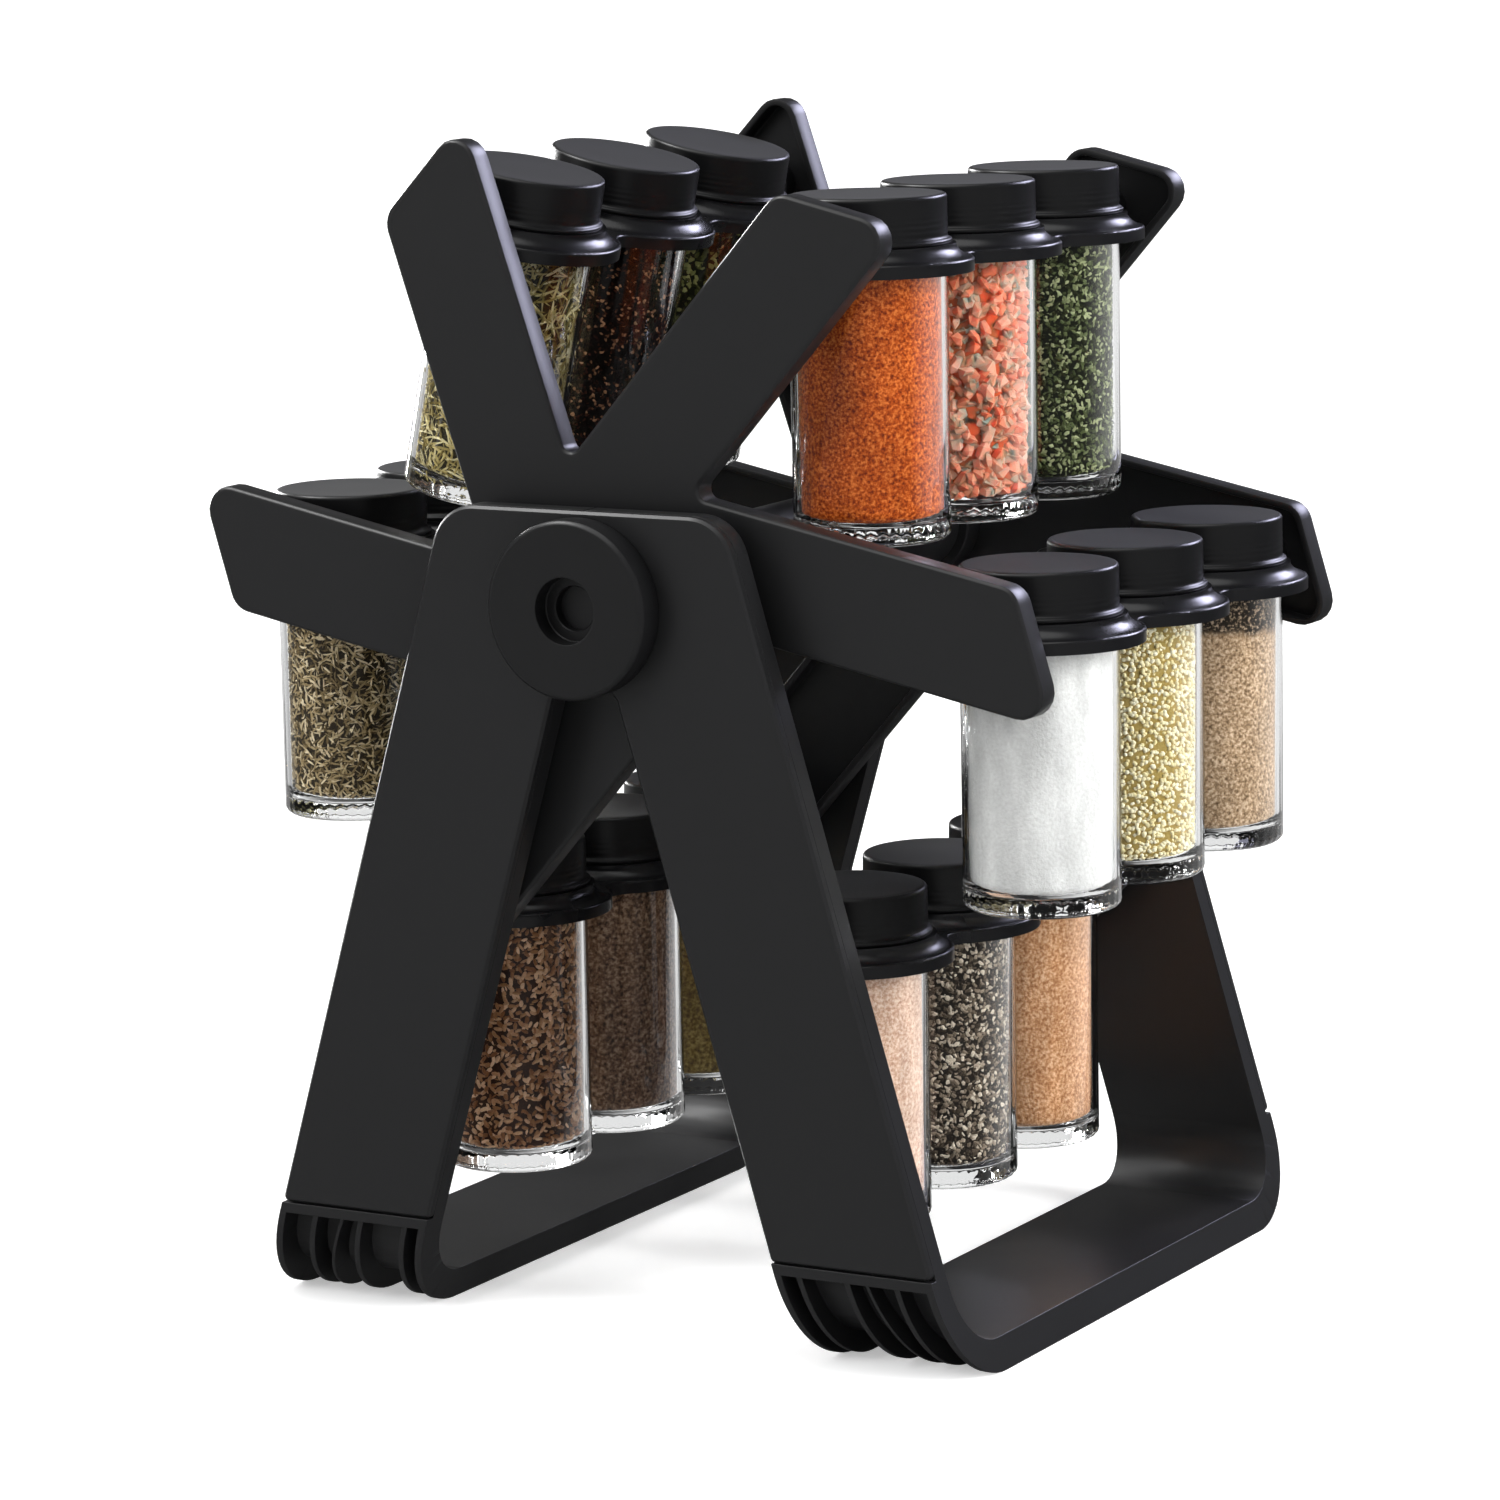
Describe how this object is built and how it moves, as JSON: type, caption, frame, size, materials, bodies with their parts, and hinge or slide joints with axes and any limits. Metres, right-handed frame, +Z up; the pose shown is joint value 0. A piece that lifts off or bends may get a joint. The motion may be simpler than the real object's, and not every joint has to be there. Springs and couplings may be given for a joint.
{
  "type": "spice carousel",
  "caption": "Rotating spice carousel: two pinwheel-armed wheels on an A-shaped stand carry level hangers with glass spice jars and black screw caps.",
  "frame": {"origin": "on the floor, under the middle of the hub axis, half way between the leg covers", "axes": "+X to the right across the wheels, +Y to the back along the hub axis, +Z up"},
  "size_m": [0.2836, 0.24, 0.3365],
  "materials": {
    "black_plastic": "satin fine grain",
    "cap_plastic": "matte",
    "glass": "clear",
    "screw_steel": "zinc plated"
  },
  "bodies": {
    "stand": {"base_frame_right": "black_plastic", "base_frame_left": "black_plastic", "leg_cover_front": "black_plastic", "leg_cover_rear": "black_plastic"},
    "carousel": {"wheel_front": "black_plastic", "wheel_rear": "black_plastic", "hub_front": "black_plastic", "hub_rear": "black_plastic", "hub_screws": "screw_steel", "centre_tube": "black_plastic"},
    "hanger_right": {"hanger_right": "black_plastic"},
    "jar_right_1": {"jar_right_1": "glass"},
    "cap_right_1": {"cap_right_1": "cap_plastic"},
    "jar_right_2": {"jar_right_2": "glass"},
    "cap_right_2": {"cap_right_2": "cap_plastic"},
    "jar_right_3": {"jar_right_3": "glass"},
    "cap_right_3": {"cap_right_3": "cap_plastic"},
    "hanger_upper_right": {"hanger_upper_right": "black_plastic"},
    "jar_upper_right_1": {"jar_upper_right_1": "glass"},
    "cap_upper_right_1": {"cap_upper_right_1": "cap_plastic"},
    "jar_upper_right_2": {"jar_upper_right_2": "glass"},
    "cap_upper_right_2": {"cap_upper_right_2": "cap_plastic"},
    "jar_upper_right_3": {"jar_upper_right_3": "glass"},
    "cap_upper_right_3": {"cap_upper_right_3": "cap_plastic"},
    "hanger_upper_left": {"hanger_upper_left": "black_plastic"},
    "jar_upper_left_1": {"jar_upper_left_1": "glass"},
    "cap_upper_left_1": {"cap_upper_left_1": "cap_plastic"},
    "jar_upper_left_2": {"jar_upper_left_2": "glass"},
    "cap_upper_left_2": {"cap_upper_left_2": "cap_plastic"},
    "jar_upper_left_3": {"jar_upper_left_3": "glass"},
    "cap_upper_left_3": {"cap_upper_left_3": "cap_plastic"},
    "hanger_left": {"hanger_left": "black_plastic"},
    "jar_left_1": {"jar_left_1": "glass"},
    "cap_left_1": {"cap_left_1": "cap_plastic"},
    "jar_left_2": {"jar_left_2": "glass"},
    "cap_left_2": {"cap_left_2": "cap_plastic"},
    "jar_left_3": {"jar_left_3": "glass"},
    "cap_left_3": {"cap_left_3": "cap_plastic"},
    "hanger_lower_left": {"hanger_lower_left": "black_plastic"},
    "jar_lower_left_1": {"jar_lower_left_1": "glass"},
    "cap_lower_left_1": {"cap_lower_left_1": "cap_plastic"},
    "jar_lower_left_2": {"jar_lower_left_2": "glass"},
    "cap_lower_left_2": {"cap_lower_left_2": "cap_plastic"},
    "jar_lower_left_3": {"jar_lower_left_3": "glass"},
    "cap_lower_left_3": {"cap_lower_left_3": "cap_plastic"},
    "hanger_lower_right": {"hanger_lower_right": "black_plastic"},
    "jar_lower_right_1": {"jar_lower_right_1": "glass"},
    "cap_lower_right_1": {"cap_lower_right_1": "cap_plastic"},
    "jar_lower_right_2": {"jar_lower_right_2": "glass"},
    "cap_lower_right_2": {"cap_lower_right_2": "cap_plastic"},
    "jar_lower_right_3": {"jar_lower_right_3": "glass"},
    "cap_lower_right_3": {"cap_lower_right_3": "cap_plastic"}
  },
  "joints": [
    {"name": "carousel_spin", "type": "hinge", "parent": "stand", "child": "carousel", "pos_m": [0, 0, 0.21], "axis": [0, 1, 0], "continuous": true},
    {"name": "hanger_level_right", "type": "hinge", "parent": "carousel", "child": "hanger_right", "pos_m": [0.11241, 0, 0.20473], "axis": [0, 1, 0], "continuous": true},
    {"name": "jar_lift_right_1", "type": "slide", "parent": "hanger_right", "child": "jar_right_1", "axis": [0, 0, 1], "range_m": [0, 0.05]},
    {"name": "cap_lift_right_1", "type": "slide", "parent": "jar_right_1", "child": "cap_right_1", "axis": [0, 0, 1], "range_m": [0, 0.012]},
    {"name": "jar_lift_right_2", "type": "slide", "parent": "hanger_right", "child": "jar_right_2", "axis": [0, 0, 1], "range_m": [0, 0.05]},
    {"name": "cap_lift_right_2", "type": "slide", "parent": "jar_right_2", "child": "cap_right_2", "axis": [0, 0, 1], "range_m": [0, 0.012]},
    {"name": "jar_lift_right_3", "type": "slide", "parent": "hanger_right", "child": "jar_right_3", "axis": [0, 0, 1], "range_m": [0, 0.05]},
    {"name": "cap_lift_right_3", "type": "slide", "parent": "jar_right_3", "child": "cap_right_3", "axis": [0, 0, 1], "range_m": [0, 0.012]},
    {"name": "hanger_level_upper_right", "type": "hinge", "parent": "carousel", "child": "hanger_upper_right", "pos_m": [0.06076, 0, 0.30471], "axis": [0, 1, 0], "continuous": true},
    {"name": "jar_lift_upper_right_1", "type": "slide", "parent": "hanger_upper_right", "child": "jar_upper_right_1", "axis": [0, 0, 1], "range_m": [0, 0.05]},
    {"name": "cap_lift_upper_right_1", "type": "slide", "parent": "jar_upper_right_1", "child": "cap_upper_right_1", "axis": [0, 0, 1], "range_m": [0, 0.012]},
    {"name": "jar_lift_upper_right_2", "type": "slide", "parent": "hanger_upper_right", "child": "jar_upper_right_2", "axis": [0, 0, 1], "range_m": [0, 0.05]},
    {"name": "cap_lift_upper_right_2", "type": "slide", "parent": "jar_upper_right_2", "child": "cap_upper_right_2", "axis": [0, 0, 1], "range_m": [0, 0.012]},
    {"name": "jar_lift_upper_right_3", "type": "slide", "parent": "hanger_upper_right", "child": "jar_upper_right_3", "axis": [0, 0, 1], "range_m": [0, 0.05]},
    {"name": "cap_lift_upper_right_3", "type": "slide", "parent": "jar_upper_right_3", "child": "cap_upper_right_3", "axis": [0, 0, 1], "range_m": [0, 0.012]},
    {"name": "hanger_level_upper_left", "type": "hinge", "parent": "carousel", "child": "hanger_upper_left", "pos_m": [-0.05164, 0, 0.30998], "axis": [0, 1, 0], "continuous": true},
    {"name": "jar_lift_upper_left_1", "type": "slide", "parent": "hanger_upper_left", "child": "jar_upper_left_1", "axis": [0.2079, 0, 0.9781], "range_m": [0, 0.05]},
    {"name": "cap_lift_upper_left_1", "type": "slide", "parent": "jar_upper_left_1", "child": "cap_upper_left_1", "axis": [0.2079, 0, 0.9781], "range_m": [0, 0.012]},
    {"name": "jar_lift_upper_left_2", "type": "slide", "parent": "hanger_upper_left", "child": "jar_upper_left_2", "axis": [0.2079, 0, 0.9781], "range_m": [0, 0.05]},
    {"name": "cap_lift_upper_left_2", "type": "slide", "parent": "jar_upper_left_2", "child": "cap_upper_left_2", "axis": [0.2079, 0, 0.9781], "range_m": [0, 0.012]},
    {"name": "jar_lift_upper_left_3", "type": "slide", "parent": "hanger_upper_left", "child": "jar_upper_left_3", "axis": [0.2079, 0, 0.9781], "range_m": [0, 0.05]},
    {"name": "cap_lift_upper_left_3", "type": "slide", "parent": "jar_upper_left_3", "child": "cap_upper_left_3", "axis": [0.2079, 0, 0.9781], "range_m": [0, 0.012]},
    {"name": "hanger_level_left", "type": "hinge", "parent": "carousel", "child": "hanger_left", "pos_m": [-0.11241, 0, 0.21527], "axis": [0, 1, 0], "continuous": true},
    {"name": "jar_lift_left_1", "type": "slide", "parent": "hanger_left", "child": "jar_left_1", "axis": [0, 0, 1], "range_m": [0, 0.05]},
    {"name": "cap_lift_left_1", "type": "slide", "parent": "jar_left_1", "child": "cap_left_1", "axis": [0, 0, 1], "range_m": [0, 0.012]},
    {"name": "jar_lift_left_2", "type": "slide", "parent": "hanger_left", "child": "jar_left_2", "axis": [0, 0, 1], "range_m": [0, 0.05]},
    {"name": "cap_lift_left_2", "type": "slide", "parent": "jar_left_2", "child": "cap_left_2", "axis": [0, 0, 1], "range_m": [0, 0.012]},
    {"name": "jar_lift_left_3", "type": "slide", "parent": "hanger_left", "child": "jar_left_3", "axis": [0, 0, 1], "range_m": [0, 0.05]},
    {"name": "cap_lift_left_3", "type": "slide", "parent": "jar_left_3", "child": "cap_left_3", "axis": [0, 0, 1], "range_m": [0, 0.012]},
    {"name": "hanger_level_lower_left", "type": "hinge", "parent": "carousel", "child": "hanger_lower_left", "pos_m": [-0.06076, 0, 0.11529], "axis": [0, 1, 0], "continuous": true},
    {"name": "jar_lift_lower_left_1", "type": "slide", "parent": "hanger_lower_left", "child": "jar_lower_left_1", "axis": [0, 0, 1], "range_m": [0, 0.05]},
    {"name": "cap_lift_lower_left_1", "type": "slide", "parent": "jar_lower_left_1", "child": "cap_lower_left_1", "axis": [0, 0, 1], "range_m": [0, 0.012]},
    {"name": "jar_lift_lower_left_2", "type": "slide", "parent": "hanger_lower_left", "child": "jar_lower_left_2", "axis": [0, 0, 1], "range_m": [0, 0.05]},
    {"name": "cap_lift_lower_left_2", "type": "slide", "parent": "jar_lower_left_2", "child": "cap_lower_left_2", "axis": [0, 0, 1], "range_m": [0, 0.012]},
    {"name": "jar_lift_lower_left_3", "type": "slide", "parent": "hanger_lower_left", "child": "jar_lower_left_3", "axis": [0, 0, 1], "range_m": [0, 0.05]},
    {"name": "cap_lift_lower_left_3", "type": "slide", "parent": "jar_lower_left_3", "child": "cap_lower_left_3", "axis": [0, 0, 1], "range_m": [0, 0.012]},
    {"name": "hanger_level_lower_right", "type": "hinge", "parent": "carousel", "child": "hanger_lower_right", "pos_m": [0.05164, 0, 0.11002], "axis": [0, 1, 0], "continuous": true},
    {"name": "jar_lift_lower_right_1", "type": "slide", "parent": "hanger_lower_right", "child": "jar_lower_right_1", "axis": [0, 0, 1], "range_m": [0, 0.05]},
    {"name": "cap_lift_lower_right_1", "type": "slide", "parent": "jar_lower_right_1", "child": "cap_lower_right_1", "axis": [0, 0, 1], "range_m": [0, 0.012]},
    {"name": "jar_lift_lower_right_2", "type": "slide", "parent": "hanger_lower_right", "child": "jar_lower_right_2", "axis": [0, 0, 1], "range_m": [0, 0.05]},
    {"name": "cap_lift_lower_right_2", "type": "slide", "parent": "jar_lower_right_2", "child": "cap_lower_right_2", "axis": [0, 0, 1], "range_m": [0, 0.012]},
    {"name": "jar_lift_lower_right_3", "type": "slide", "parent": "hanger_lower_right", "child": "jar_lower_right_3", "axis": [0, 0, 1], "range_m": [0, 0.05]},
    {"name": "cap_lift_lower_right_3", "type": "slide", "parent": "jar_lower_right_3", "child": "cap_lower_right_3", "axis": [0, 0, 1], "range_m": [0, 0.012]}
  ],
  "couplings": [
    {"joint": "hanger_level_right", "follows": "carousel_spin", "ratio": -1},
    {"joint": "hanger_level_upper_right", "follows": "carousel_spin", "ratio": -1},
    {"joint": "hanger_level_upper_left", "follows": "carousel_spin", "ratio": -1},
    {"joint": "hanger_level_left", "follows": "carousel_spin", "ratio": -1},
    {"joint": "hanger_level_lower_left", "follows": "carousel_spin", "ratio": -1},
    {"joint": "hanger_level_lower_right", "follows": "carousel_spin", "ratio": -1}
  ]
}
